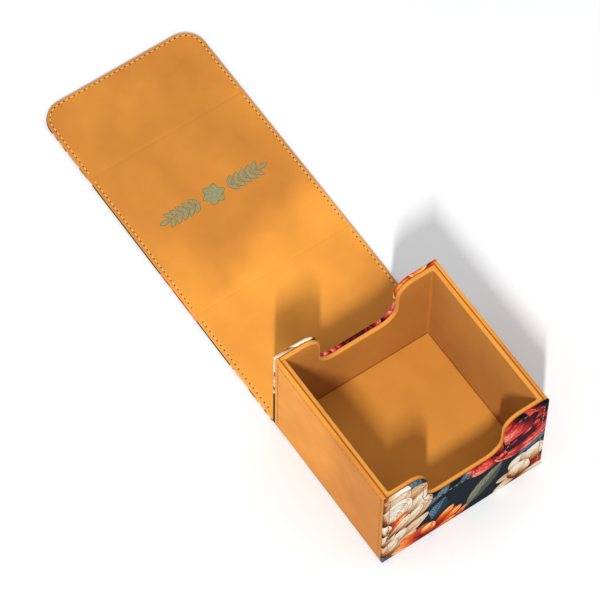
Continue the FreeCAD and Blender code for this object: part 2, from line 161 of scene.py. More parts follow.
class Graph:
    """A short way to write a node tree; a value may be a number or another node's socket."""

    def __init__(self, tree):
        self.tree = tree

    def node(self, kind, inputs=(), **settings):
        """Add a node, set its properties and fill its inputs by name or place."""
        made = self.tree.nodes.new(kind)
        for name, value in settings.items():
            setattr(made, name, value)
        for place, value in dict(inputs).items():
            self.feed(made.inputs[place], value)
        return made

    def feed(self, socket, value):
        """Link a socket or set its number."""
        if isinstance(value, bpy.types.NodeSocket):
            self.tree.links.new(value, socket)
        else:
            socket.default_value = value

    def math(self, operation, *values, clamp=False):
        inputs = dict(enumerate(values))
        made = self.node("ShaderNodeMath", inputs, operation=operation, use_clamp=clamp)
        return made.outputs[0]

    def times(self, first, second, clamp=False):
        return self.math("MULTIPLY", first, second, clamp=clamp)

    def minus(self, first, second):
        return self.math("SUBTRACT", first, second)

    def times_plus(self, first, second, added, clamp=False):
        return self.math("MULTIPLY_ADD", first, second, added, clamp=clamp)

    def swing(self, noise, gain, base, clamp=False):
        """A base value pushed up and down by a noise, by up to half of gain."""
        return self.times_plus(self.minus(noise, 0.5), gain, base, clamp)

    def length(self, x, y):
        return self.math("SQRT", self.times_plus(x, x, self.times(y, y)))

    def vector(self, operation, *values):
        made = self.node("ShaderNodeVectorMath", dict(enumerate(values)), operation=operation)
        return made.outputs["Value" if operation in ("LENGTH", "DISTANCE") else "Vector"]

    def join(self, *values):
        return self.node("ShaderNodeCombineXYZ", dict(enumerate(values))).outputs[0]

    def span(self, value, start, end, low=0.0, high=1.0, **settings):
        """A clamped straight line of value from start to end."""
        inputs = {"Value": value, "From Min": start, "From Max": end, "To Min": low, "To Max": high}
        return self.node("ShaderNodeMapRange", inputs, **settings).outputs["Result"]

    def smooth(self, *values):
        """A smooth step; its values are those of span."""
        return self.span(*values, interpolation_type="SMOOTHSTEP")

    def mix(self, factor, first, second, kind="FLOAT"):
        """Mix two numbers, or two vectors or colours."""
        place, result = {"FLOAT": (2, 0), "VECTOR": (4, 1), "RGBA": (6, 2)}[kind]
        inputs = {0: factor, place: first, place + 1: second}
        return self.node("ShaderNodeMix", inputs, data_type=kind).outputs[result]

    def noise(self, vector, scale, detail=2.0, roughness=0.5, distortion=0.0, output="Fac"):
        names = ("Vector", "Scale", "Detail", "Roughness", "Distortion")
        inputs = dict(zip(names, (vector, scale, detail, roughness, distortion)))
        return self.node("ShaderNodeTexNoise", inputs).outputs[output]

    def wander(self, uv, scale, roughness, reach):
        """Coordinates shifted by a slow noise, by up to half of reach."""
        noise = self.noise(uv, scale, 2.0, roughness, output="Color")
        shift = self.vector("SUBTRACT", noise, (0.5, 0.5, 0.5))
        return self.vector("ADD", uv, self.vector("MULTIPLY", shift, (reach, reach, 0.0)))

    def local(self, uv, x, y, turn, length, width, kind=0):
        """Coordinates inside an item that lies at x, y in millimetres, turned in degrees."""
        inputs = {
            "Vector": uv,
            "Location": (x / UV_UNIT, y / UV_UNIT, -kind),
            "Rotation": (0.0, 0.0, math.radians(turn)),
            "Scale": (length / UV_UNIT, width / UV_UNIT, 1.0),
        }
        return self.node("ShaderNodeMapping", inputs, vector_type="TEXTURE").outputs["Vector"]

    def stretched(self, vector, *scale):
        inputs = {"Vector": vector, "Scale": scale}
        return self.node("ShaderNodeMapping", inputs).outputs["Vector"]

    def ramp(self, value, *stops):
        """A colour ramp from (position, (red, green, blue)) stops in 0 to 255."""
        made = self.node("ShaderNodeValToRGB", {0: value})
        elements = made.color_ramp.elements
        while len(elements) < len(stops):
            elements.new(0.5)
        for element, (position, colour) in zip(elements, stops):
            element.position = position
            element.color = paint(*colour)
        return made.outputs["Color"]

    def bump(self, height, strength, distance, normal=None):
        inputs = {"Height": height, "Strength": strength, "Distance": distance}
        if normal is not None:
            inputs["Normal"] = normal
        return self.node("ShaderNodeBump", inputs).outputs["Normal"]


DYE = 0.66  # darkens every colour, so that the two lights together don't wash them out


def paint(red, green, blue):
    """Colour as the studio light shows it, 0 to 255, as the share of light given back."""

    def linear(channel):
        share = channel / 255
        return share / 12.92 if share <= 0.04045 else ((share + 0.055) / 1.055) ** 2.4

    return (DYE * linear(red), DYE * linear(green), DYE * linear(blue), 1.0)


def new_material(name, space="surface"):
    """A material with a plain Principled surface, as (material, graph, its coordinates).

    The "surface" space is the flat texture map, one unit for UV_UNIT millimetres.
    """
    material = bpy.data.materials.new(name)
    material.use_nodes = True
    graph = Graph(material.node_tree)
    if space == "surface":
        return material, graph, graph.node("ShaderNodeUVMap", uv_map=space).outputs["UV"]
    return material, graph, graph.node("ShaderNodeTexCoord").outputs[space]


def dress(material, graph, colour, roughness, normal=None, **fixed):
    """Fill in the surface; fixed names its even settings, with _ for each space."""
    shader = material.node_tree.nodes["Principled BSDF"]
    graph.feed(shader.inputs["Base Color"], colour)
    graph.feed(shader.inputs["Roughness"], roughness)
    if normal is not None:
        graph.feed(shader.inputs["Normal"], normal)
    for name, value in fixed.items():
        shader.inputs[name.replace("_", " ")].default_value = value
    return material


def leather_grain(graph, uv, strength):
    """Fine pebbled grain with a slower unevenness under it, as a normal."""
    inputs = {"Vector": uv, "Scale": 150.0, "Randomness": 0.9}
    cells = graph.node("ShaderNodeTexVoronoi", inputs, feature="SMOOTH_F1")
    height = graph.times_plus(graph.noise(uv, 420.0, 3.0, 0.6), 0.5, cells.outputs["Distance"])
    slow = graph.bump(graph.noise(uv, 9.0), 0.25, 0.0006)
    return graph.bump(height, strength, 0.00006, slow)


def patches(graph, uv, items):
    """How far each point lies in soft lighter patches, from 0 to 1; each patch is partly the skin's
    own paler patch and partly a painted pool of light.

    A patch is (x, y, turn in degrees, half length, half width), in millimetres; its edge
    wanders like the edge of a brushed or pulled area.
    """
    bent = graph.wander(uv, 2.2, 0.45, 0.34)
    total = 0.0
    for item in items:
        away = graph.vector("LENGTH", graph.local(bent, *item))
        total = graph.math("MAXIMUM", total, graph.smooth(away, 1.5, 0.55))
    return total


def plain_leatherette():
    """Smooth orange leatherette with a fine grain, paler towards the back of each side: partly its
    own paler patch, partly a painted pool of light.
    """
    material, graph, uv = new_material("orange_leatherette")
    speck = graph.noise(uv, 260.0, 2.0, 0.6)
    tone = graph.times_plus(speck, 0.35, graph.noise(uv, 4.5, 3.0, 0.55))
    # the paler patch: partly the leather's own, partly a painted pool of light
    pale = patches(graph, uv, [(36, 38, 90, 60, 46)])
    tone = graph.times_plus(pale, 0.55, graph.span(tone, 0.35, 0.95, 0.0, 0.45))
    colour = graph.ramp(tone, (0.0, (198, 122, 42)), (0.3, (207, 129, 44)), (1.0, (248, 162, 56)))
    roughness = graph.span(speck, 0.2, 0.8, 0.42, 0.56)
    grain = leather_grain(graph, uv, 0.5)
    return dress(material, graph, colour, roughness, grain, Specular_IOR_Level=0.08)


def microfibre(name, stops, pale_patches_and_light_pools=()):
    """Brushed orange microfibre: a soft mottle of lying nap, matte, with a faint sheen.

    stops are its colours from nap brushed dark to nap brushed light; the paler patches are partly
    brushed nap and partly a painted pool of light.
    """
    material, graph, uv = new_material(name)
    cloud = graph.noise(graph.stretched(uv, 1.0, 0.55, 1.0), 2.6, 2.0, 0.45, 0.3)
    nap = graph.noise(uv, 330.0, 3.0, 0.65)
    slow = graph.times_plus(graph.noise(uv, 8.0, 2.0, 0.5, 0.4), 0.22, cloud)
    tone = graph.span(graph.times_plus(nap, 0.22, slow), 0.42, 1.0)
    if pale_patches_and_light_pools:
        # paler patches: partly brushed nap, partly a painted pool of light
        tone = graph.times_plus(patches(graph, uv, pale_patches_and_light_pools), 0.55, graph.times(tone, 0.5))
    roughness = graph.span(nap, 0.2, 0.8, 0.78, 0.92)
    relief = graph.bump(nap, 0.4, 0.00008, graph.bump(slow, 0.3, 0.0004))
    sheen = {"Sheen_Weight": 0.18, "Sheen_Roughness": 0.45, "Sheen_Tint": paint(255, 205, 150)}
    colour = graph.ramp(tone, *stops)
    return dress(material, graph, colour, roughness, relief, Specular_IOR_Level=0.2, **sheen)


def thread(name, deep, light):
    """Twisted sewing thread; its coordinates count turns along it and round it."""
    material, graph, uv = new_material(name)
    parts = graph.node("ShaderNodeSeparateXYZ", {0: uv}).outputs
    ply = graph.math("PINGPONG", graph.math("ADD", parts["X"], parts["Y"]), 0.5)
    colour = graph.ramp(graph.span(ply, 0.0, 0.5), (0.0, deep), (1.0, light))
    return dress(material, graph, colour, 0.55, graph.bump(ply, 0.8, 0.0001))


def needle_hole():
    """Painted shade of the pierced hole between two stitches."""
    material, graph, uv = new_material("needle_hole")
    colour = graph.ramp(graph.noise(uv, 300.0), (0.0, (66, 32, 22)), (1.0, (104, 58, 38)))
    return dress(material, graph, colour, 0.9)


def foil(name, deep, light):
    """Pressed foil with a slightly broken, satin face."""
    material, graph, uv = new_material(name)
    fleck = graph.noise(uv, 90.0, 4.0, 0.7)
    colour = graph.ramp(graph.span(fleck, 0.25, 0.75), (0.0, deep), (1.0, light))
    roughness = graph.span(fleck, 0.2, 0.8, 0.35, 0.6)
    normal = graph.bump(fleck, 0.35, 0.00005)
    return dress(material, graph, colour, roughness, normal, Metallic=0.25)


def greyboard():
    """Recycled board with short fibres."""
    material, graph, place = new_material("greyboard", "Object")
    fibre = graph.noise(place, 900.0, 4.0, 0.7, 1.5)
    colour = graph.ramp(fibre, (0.3, (104, 98, 90)), (0.7, (150, 144, 134)))
    return dress(material, graph, colour, 0.9, graph.bump(fibre, 0.4, 0.0001))


def magnet_steel():
    """Nickel plating with a fine broken polish."""
    material, graph, place = new_material("magnet_steel", "Object")
    lay = graph.noise(place, 2500.0)
    colour = graph.ramp(lay, (0.2, (150, 150, 154)), (0.8, (196, 196, 200)))
    return dress(material, graph, colour, graph.span(lay, 0.0, 1.0, 0.25, 0.4), Metallic=1.0)


def pale_floor():
    """A matt white studio floor with a barely visible unevenness."""
    material, graph, place = new_material("pale_floor", "Object")
    colour = graph.ramp(graph.noise(place, 6.0), (0.0, (236, 237, 239)), (1.0, (239, 240, 242)))
    return dress(material, graph, colour, 0.9, Specular_IOR_Level=0.1)


# ---------------------------------------------------------------- the printed flowers

CREAM, ROSE, AMBER = 0, 1, 2
SLATE, SAGE = 0, 1
NOWHERE = (9.0, 9.0, 0.0)

# Colours from deep to light, for each kind of flower, petal and leaf.
FLOWER_COLOURS = (
    ((0.0, (104, 52, 28)), (0.2, (168, 106, 66)), (0.42, (206, 164, 122)),
     (0.66, (228, 206, 176)), (1.0, (246, 240, 226))),
    ((0.0, (20, 16, 26)), (0.14, (84, 16, 28)), (0.34, (170, 36, 44)),
     (0.6, (214, 74, 70)), (1.0, (242, 148, 134))),
    ((0.0, (112, 24, 14)), (0.28, (182, 52, 22)), (0.55, (222, 108, 36)),
     (0.8, (240, 158, 82)), (1.0, (250, 204, 150))),
)
PETAL_COLOURS = (
    ((0.0, (92, 40, 20)), (0.14, (152, 88, 46)), (0.32, (186, 138, 92)),
     (0.55, (208, 180, 144)), (0.76, (220, 208, 188)), (1.0, (228, 230, 224))),
    ((0.0, (16, 16, 26)), (0.16, (74, 12, 28)), (0.36, (150, 22, 32)),
     (0.6, (204, 48, 46)), (0.8, (224, 96, 84)), (1.0, (238, 150, 134))),
    ((0.0, (110, 18, 14)), (0.25, (178, 46, 18)), (0.5, (222, 98, 34)),
     (0.75, (238, 150, 70)), (1.0, (250, 206, 140))),
)
LEAF_COLOURS = (
    ((0.0, (14, 26, 38)), (0.45, (44, 74, 94)), (1.0, (128, 156, 170))),
    ((0.0, (34, 40, 36)), (0.45, (102, 104, 88)), (1.0, (156, 156, 132))),
)


def stamp_group(name, draw):
    """A node group that paints one item.

    Its vector holds the place in the item and, as its third number, the item's kind.
    draw makes the colour and the cover from the graph, the vector and its three numbers.
    """
    tree = bpy.data.node_groups.new(name, "ShaderNodeTree")
    tree.interface.new_socket("Vector", in_out="INPUT", socket_type="NodeSocketVector")
    for label, kind in (("Color", "NodeSocketColor"), ("Cover", "NodeSocketFloat")):
        tree.interface.new_socket(label, in_out="OUTPUT", socket_type=kind)
    graph = Graph(tree)
    entry = graph.node("NodeGroupInput").outputs["Vector"]
    parts = graph.node("ShaderNodeSeparateXYZ", {0: entry}).outputs
    colour, cover = draw(graph, entry, parts["X"], parts["Y"], parts["Z"])
    graph.node("NodeGroupOutput", {"Color": colour, "Cover": cover})
    return tree


def by_kind(graph, kind, tones, palettes, first_limit):
    """The colour for the kind: the next palette at each whole step from the first limit."""
    ramps = [graph.ramp(tone, *stops) for tone, stops in zip(tones, palettes)]
    colour = ramps[0]
    for step, ramp in enumerate(ramps[1:]):
        passed = graph.math("GREATER_THAN", kind, first_limit + step)
        colour = graph.mix(passed, colour, ramp, "RGBA")
    return colour


def draw_flower(graph, entry, x, y, kind):
    """A many-petalled flower of radius 1, painted from its outer ring of petals inwards."""
    ripple = graph.minus(graph.noise(entry, 2.1), 0.5)
    radius = graph.times_plus(ripple, 0.26, graph.length(x, y))
    turn = graph.math("DIVIDE", graph.math("ARCTAN2", y, x), 2 * math.pi)
    turn = graph.times_plus(ripple, 0.16, turn)
    turn = graph.times_plus(radius, 0.10, turn)

    # Each ring's reach, its number of petals and the turn of its first one.
    rings = [
        (1.0, 6, 0.05),
        (0.83, 5, 0.42),
        (0.67, 5, 0.13),
        (0.52, 4, 0.71),
        (0.38, 4, 0.36),
        (0.25, 3, 0.88),
        (0.13, 2, 0.2),
    ]
    edge_softness = 0.012
    tone, cover = 0.0, None
    for index, (reach, petals, phase) in enumerate(rings):
        gap = reach - (rings[index + 1][0] if index + 1 < len(rings) else 0.0)
        across = graph.math("FRACT", graph.times_plus(turn, petals, phase))
        from_middle = graph.math("ABSOLUTE", graph.times_plus(across, 2.0, -1.0))
        lobe = graph.math("POWER", from_middle, 2.6)
        inside = graph.minus(graph.times_plus(lobe, -0.2 * reach, reach), radius)
        mask = graph.smooth(inside, -edge_softness, edge_softness)
        shade = graph.math("POWER", graph.times_plus(inside, -0.9 / gap, 1.0, clamp=True), 0.9)
        overlap = graph.smooth(across, 0.0, 0.34, 0.3, 1.0)
        rim = graph.smooth(inside, 0.06 * gap, 0.3 * gap, 0.16, 0.0)
        tone = graph.mix(mask, tone, graph.times_plus(shade, overlap, rim))
        cover = cover or mask
    streak = graph.noise(graph.join(graph.times(turn, 34.0), radius), 2.2, 3.0, 0.6)
    stroke = graph.swing(streak, 0.75, tone)
    stroke = graph.swing(graph.noise(entry, 9.0, 3.0, 0.6, 0.6), 0.4, stroke, clamp=True)
    heart = graph.times(stroke, graph.smooth(radius, 0.12, 0.85, 0.22, 1.12))
    return by_kind(graph, kind, (stroke, heart, stroke), FLOWER_COLOURS, 0.5), cover


def draw_leaf(graph, entry, x, y, kind):
    """A pointed leaf along X from -1 to 1, with a midrib and slanting veins."""
    side = graph.swing(graph.noise(entry, 1.6, 3.0, 0.6), 0.5, y)
    away = graph.math("ABSOLUTE", side)
    inside = graph.minus(graph.minus(1.0, graph.times(x, x)), away)
    vein = graph.math("PINGPONG", graph.times(graph.times_plus(away, -0.55, x), 4.5), 0.5)
    ribbed = graph.smooth(vein, 0.0, 0.22, 0.55, 1.0)
    midrib = graph.smooth(away, 0.03, 0.1, 0.35, 0.0)
    lit = graph.smooth(side, -0.25, 0.45, 0.22, 0.68)
    dab = graph.noise(graph.stretched(entry, 1.2, 5.0, 1.0), 3.0, 4.0, 0.65)
    tone = graph.swing(dab, 0.7, graph.times_plus(lit, ribbed, midrib), clamp=True)
    colour = by_kind(graph, kind, (tone, tone), LEAF_COLOURS, 0.5)
    return colour, graph.smooth(inside, -0.02, 0.05)


def draw_petal(graph, entry, x, y, kind):
    """A rounded petal filling a circle of radius 1, from its foot at X -1 to its lip at X 1.

    The kind is the kind of flower plus how much the petal lies in shade, up to 0.9.
    """
    radius = graph.length(x, y)
    fan = graph.math("ARCTAN2", y, graph.math("ADD", x, 1.9))
    streak = graph.noise(graph.join(graph.times(fan, 13.0), x, kind), 1.6, 4.0, 0.62, 0.5)
    dab = graph.noise(entry, 2.4, 4.0, 0.6, 1.0)
    body = graph.smooth(x, -1.0, 0.75, 0.04, 0.86)
    off_fold = graph.math("ABSOLUTE", graph.times_plus(dab, 0.5, y))
    fold = graph.smooth(off_fold, 0.02, 0.35, 0.62, 1.0)
    lip = graph.times(graph.smooth(radius, 0.8, 0.93, 0.0, 0.3), graph.smooth(x, -0.35, 0.35))
    under_lip = graph.times(graph.smooth(radius, 0.62, 0.86, 0.0, 0.24), 0.6)
    tone = graph.minus(graph.times_plus(body, fold, lip), under_lip)
    tone = graph.swing(dab, 0.45, graph.swing(streak, 0.95, tone))
    arc = graph.minus(graph.math("PINGPONG", graph.times(radius, 3.4), 0.5), 0.25)
    banded = graph.times(graph.smooth(x, -0.5, 0.3), graph.smooth(radius, 0.2, 0.5))
    tone = graph.times_plus(graph.times(arc, banded), 0.55, tone)
    outline = graph.smooth(radius, 0.93, 0.985, 1.0, 0.2)
    lit = graph.times_plus(graph.math("FRACT", kind), -1.15, 1.18)
    tone = graph.times(graph.times(tone, outline), lit, clamp=True)
    colour = by_kind(graph, kind, (tone, tone, tone), PETAL_COLOURS, 1.0)
    return colour, graph.smooth(radius, 0.98, 1.0, 1.0, 0.0)


def place_all(graph, uv, items, limit):
    """Local coordinates of the last listed item that covers each point.

    An item is (x, y, turn in degrees, half length, half width, kind), in millimetres.
    """
    best = NOWHERE
    for item in items:
        local = graph.local(uv, *item)
        away = graph.vector("DISTANCE", local, (0.0, 0.0, float(item[-1])))
        best = graph.mix(graph.math("LESS_THAN", away, limit), best, local, "VECTOR")
    return best


def floral_print(name, groups, leaves, back_flowers, front_flowers, petals=()):
    """Leatherette printed with leaves, layers of flowers and single petals on a dark ground."""
    material, graph, uv = new_material(name)
    bent = graph.wander(uv, 6.0, 0.5, 0.045)
    ground = ((0.3, (14, 20, 26)), (0.6, (22, 34, 44)), (0.85, (40, 60, 74)))
    colour = graph.ramp(graph.noise(uv, 14.0, 4.0, 0.6, 0.8), *ground)
    back, front = [
        [(x, y, turn, radius, radius, kind) for x, y, turn, radius, kind in layer]
        for layer in (back_flowers, front_flowers)
    ]
    flower, leaf, petal = groups
    layers = [(leaf, leaves, 1.5), (flower, back, 1.02), (flower, front, 1.02)]
    for tree, items, limit in layers + [(petal, petals, 1.0)]:
        if items:
            made = graph.node("ShaderNodeGroup", node_tree=tree)
            graph.feed(made.inputs["Vector"], place_all(graph, bent, items, limit))
            colour = graph.mix(made.outputs["Cover"], colour, made.outputs["Color"], "RGBA")
    fibre = graph.noise(uv, 230.0, 3.0, 0.7)
    worn = graph.node("ShaderNodeVectorMath", {0: colour}, operation="SCALE")
    graph.feed(worn.inputs["Scale"], graph.span(fibre, 0.2, 0.8, 0.86, 1.1))
    roughness = graph.span(fibre, 0.2, 0.8, 0.4, 0.55)
    grain = leather_grain(graph, uv, 0.4)
    look = worn.outputs["Vector"]
    return dress(material, graph, look, roughness, grain, Specular_IOR_Level=0.012)


# ---------------------------------------------------------------- mesh building


def build_mesh(name, points, faces, uvs, material, sharp=38.0):
    """A smooth-shaded mesh object from millimetre points, one texture place per point."""
    mesh = bpy.data.meshes.new(name)
    mesh.from_pydata((np.asarray(points) * MM).tolist(), [], faces)
    layer = mesh.uv_layers.new(name="surface")
    corner_points = np.zeros(len(mesh.loops), int)
    mesh.loops.foreach_get("vertex_index", corner_points)
    layer.data.foreach_set("uv", (np.asarray(uvs)[corner_points] / UV_UNIT).ravel())
    mesh.materials.append(material)
    mesh.polygons.foreach_set("use_smooth", [True] * len(mesh.polygons))
    mesh.update()
    mesh.validate()
    face_outwards(mesh)
    mesh.set_sharp_from_angle(angle=math.radians(sharp))
    piece = bpy.data.objects.new(name, mesh)
    bpy.context.scene.collection.objects.link(piece)
    weighted = piece.modifiers.new("weighted_normals", "WEIGHTED_NORMAL")
    weighted.keep_sharp = True
    return piece


def face_outwards(mesh):
    """Turn a closed mesh inside out if its volume comes out negative."""
    mesh.calc_loop_triangles()
    corners = np.zeros(len(mesh.loop_triangles) * 3, int)
    mesh.loop_triangles.foreach_get("vertices", corners)
    places = np.zeros(len(mesh.vertices) * 3)
    mesh.vertices.foreach_get("co", places)
    a, b, c = places.reshape(-1, 3)[corners.reshape(-1, 3)].transpose(1, 0, 2)
    if np.einsum("ij,ij->", a, np.cross(b, c)) < 0:
        mesh.flip_normals()


def stack_faces(rings, count, capped=True):
    """Faces that join rings of points, with a face across each end."""
    faces = []
    for start in range(0, (rings - 1) * count, count):
        for index in range(count):
            here, after = start + index, start + (index + 1) % count
            faces.append((here, after, after + count, here + count))
    if capped:
        faces.append(tuple(range(count))[::-1])
        faces.append(tuple(range((rings - 1) * count, rings * count)))
    return faces


def along(stretch, shares):
    """Places on a stretch at shares of its length."""
    if len(stretch) == 2:
        start, end = np.asarray(stretch[0], float), np.asarray(stretch[1], float)
        return start + shares[:, None] * (end - start)
    centre, radius, first, last = stretch
    angle = (first + (last - first) * shares) * math.pi / 2
    return np.asarray(centre) + radius * np.c_[np.cos(angle), np.sin(angle)]


def stretch_length(stretch):
    if len(stretch) == 2:
        return math.dist(*stretch)
    return abs(stretch[3] - stretch[2]) * stretch[1] * math.pi / 2


def notch_stretches(half, foot, top, inset):
    """A notched wall's outline, anticlockwise from its lower left corner."""
    a = half - inset
    rim = top - inset
    side = NOTCH_HALF + inset
    ear = EAR_RADIUS - inset
    corner = NOTCH_RADIUS + inset
    bed = top - NOTCH_DROP - inset
    mouth = side + ear
    flat = side - corner
    return [
        ((-a, foot), (a, foot)),
        ((a, foot), (a, rim)),
        ((a, rim), (mouth, rim)),
        ((mouth, rim - ear), ear, 1, 2),
        ((side, rim - ear), (side, bed + corner)),
        ((flat, bed + corner), corner, 4, 3),
        ((flat, bed), (-flat, bed)),
        ((-flat, bed + corner), corner, 3, 2),
        ((-side, bed + corner), (-side, rim - ear)),
        ((-mouth, rim - ear), ear, 0, 1),
        ((-mouth, rim), (-a, rim)),
        ((-a, rim), (-a, foot)),
    ]


def flap_stretches(near, inset):
    """The last flap panel's outline: square at the hinge, round at its free corners."""
    a = half_width - inset
    end = flap_end - inset
    radius = max(FLAP_CORNER - inset, 0.5)
    return [
        ((-a, near), (a, near)),
        ((a, near), (a, end - radius)),
        ((a - radius, end - radius), radius, 0, 1),
        ((a - radius, end), (radius - a, end)),
        ((radius - a, end - radius), radius, 1, 2),
        ((-a, end - radius), (-a, near)),
    ]


def round_over(reach, drop, radius, steps=4):
    """(inset, depth) places round an outer edge, from its side to its face."""
    angles = [step / steps * math.pi / 2 for step in range(steps + 1)]
    return [
        (reach + radius * (1 - math.cos(angle)), drop - radius * (1 - math.sin(angle)))
        for angle in angles
    ]


def seam_groove(inset, face):
    """(inset, depth) places across the channel that a seam pulls into the skin."""
    depth = 0.16
    sides = ((1.3, 0.0), (0.75, 0.1), (0.35, 0.65))
    return (
        [(inset - away, face - share * depth) for away, share in sides]
        + [(inset, face - depth)]
        + [(inset + away, face - share * depth) for away, share in sides[::-1]]
    )


# ---------------------------------------------------------------- stitches


def stitch_shape():
    """One stitch along X: a plump thread that dives into the skin at both ends."""
    stations, sides = 9, 8
    thick, rise, sunk = 0.29, 0.14, 0.08
    points, uvs = [], []
    for station in range(stations):
        share = station / (stations - 1)
        bow = 1 - (2 * share - 1) ** 2
        middle = rise * (1.5 * bow - 0.7)
        girth = thick * (0.62 + 0.38 * bow)
        for side in range(sides):
            angle = side / sides * 2 * math.pi
            z = middle + 0.6 * girth * math.sin(angle) - sunk
            points.append(((share - 0.5) * STITCH_LENGTH, girth * math.cos(angle), z))
            uvs.append((share * 5 * UV_UNIT, side / sides * UV_UNIT))
    return np.array(points), np.array(uvs), stack_faces(stations, sides)


def hole_shape():
    """The pierced mark between two stitches, a shallow lens that wears the needle holes' painted
    shade.
    """
    sides, half_length, half_width_across = 10, 0.58, 0.46
    angles = [2 * math.pi * k / sides for k in range(sides)]
    outline = [(half_length * math.cos(a), half_width_across * math.sin(a)) for a in angles]
    points = [(x, y, z) for z in (-0.1, 0.0) for x, y in outline]
    points += [(0.7 * x, 0.7 * y, 0.03) for x, y in outline]
    return np.array(points), np.array(points)[:, :2], stack_faces(3, sides)


def sew(name, material, runs, stand, body, node):
    """Lay stitches and their needle holes along flat runs; stand maps them onto the face."""
    kinds = (
        (name, stitch_shape(), material, 0.5),
        # needle holes: a dark lens, painted shade of the hole
        (f"{name}_holes", hole_shape(), bpy.data.materials["needle_hole"], 0.0),
    )
    for label, (points, uvs, faces), chosen, start in kinds:
        laid = []
        for run in runs:
            count = int(stretch_length(run) // STITCH_PITCH)
            for index in range(count if start else count + 1):
                nearby = (index + start) / count + np.array([-0.001, 0, 0.001])
                before, here, after = along(run, nearby)
                heading = after - before
                turn = Matrix.Rotation(math.atan2(heading[1], heading[0]), 3, "Z")
                flat = points @ np.array(turn.transposed()) + np.array([*here, -SEAM_SINK])
                laid.append([stand @ Vector(point) for point in flat])
        joins = [
            tuple(corner + base * len(points) for corner in face)
            for base in range(len(laid))
            for face in faces
        ]
        laid_uvs = np.tile(uvs, (len(laid), 1))
        piece = build_mesh(label, np.concatenate(laid), joins, laid_uvs, chosen)
        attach(piece, body)
        if chosen is material:
            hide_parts(node)


# ---------------------------------------------------------------- shells and plates

EDGE = 0.9
TUCK = 0.3


def tuck(inset):
    """How far a cut edge draws back, which only keeps its faces from lying on one another."""
    return TUCK * max(0.0, inset - EDGE)


def wall_shape(inset):
    return notch_stretches(half_width, wall_low.z + tuck(inset), height, inset)


def wall_cavity(inset):
    return notch_stretches(half_width, wall_low.z + TUCK, height, inset)


def side_shape(inset):
    """A side wall: its hem lies further in than its end seams."""
    end = extent("left_cover")[1].y
    if inset <= EDGE:
        a, rim = end - 0.35 * inset, height - inset
    else:
        share = (inset - EDGE) / (SIDE_SEAM - EDGE)
        a = end - 0.35 * EDGE - share * (SIDE_SEAM - 0.35 * EDGE)
        rim = height - EDGE - share * (HEM_DROP - EDGE)
    foot = wall_low.z + tuck(inset)
    return box_stretches(-a, a, foot, rim)


def side_cavity(inset):
    end = extent("left_cover")[1].y
    return box_stretches(TUCK - end, end - TUCK, wall_low.z + TUCK, height - inset)


def box_stretches(left, right, foot, top):
    corners = [(left, foot), (right, foot), (right, top), (left, top)]
    return list(zip(corners, corners[1:] + corners[:1]))


def ring_points(stretches, steps):
    """Points round a ring, each stretch without its last point."""
    found = [along(stretch, np.arange(count) / count) for stretch, count in zip(stretches, steps)]
    return np.concatenate(found)


def plate(name, places, steps, stand, material, body, nodes, quiet=(), sharp=38.0):
    """A thin closed shell.

    places are (shape, inset, depth, depth on quiet stretches), from the back of the hollow,
    round the rim, to the middle of the face. stand maps (across, up, depth) to the frame.
    """
    still = np.concatenate([np.full(count, index in quiet) for index, count in enumerate(steps)])
    still = still | np.roll(still, 1)
    points, uvs, reach = [], [], places[-1][1]
    wraps = [reach]
    for after, before in zip(places[:0:-1], places[-2::-1]):
        reach -= math.hypot(after[1] - before[1], after[2] - before[2])
        wraps.append(reach)
    for (shape, inset, depth, quiet_depth), wrap in zip(places, wraps[::-1]):
        flat = ring_points(shape(inset), steps)
        depths = np.where(still, quiet_depth, depth)
        points.append(np.c_[flat, depths])
        uvs.append(ring_points(shape(min(wrap, inset)), steps))
    local = np.concatenate(points)
    world = local @ np.array(stand.to_3x3()).T + np.array(stand.translation)
    faces = stack_faces(len(places), sum(steps))
    piece = build_mesh(name, world, faces, np.concatenate(uvs), material, sharp)
    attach(piece, body)
    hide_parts(*nodes)
    return piece


def standing(across, up, out, origin):
    """The matrix that stands a flat (across, up, depth) drawing in the frame."""
    turn = Matrix((across, up, out)).transposed().to_4x4()
    return Matrix.Translation(origin) @ turn


def level(z, facing=1):
    """The matrix for a drawing that lies flat at one height, facing up or down."""
    return standing((1, 0, 0), (0, 1, 0), (0, 0, facing), (0, 0, z))


def shell_places(shape, hollow, skin_inset, board, face, radius, seam=None):
    """Rings of a covered board, from its hollow round its rim to its face."""
    places = [(hollow, skin_inset, board, board), (hollow, skin_inset, 0.0, 0.0)]
    places += [(shape, 0.6, 0.0, 0.0), (shape, 0.18, 0.18, 0.18)]
    rounded = [(0.0, 0.6)] + round_over(0.0, face, radius)
    places += [(shape, inset, depth, depth) for inset, depth in rounded]
    if seam is None:
        places.append((shape, 2.5, face, face))
    else:
        places += [(shape, inset, depth, face) for inset, depth in seam_groove(seam, face)]
    return places


WALL_STEPS = [24, 10, 8, 7, 6, 7, 18, 7, 6, 7, 8, 10]
SIDE_STEPS = [24, 16, 24, 16]
BOARD = 1.2


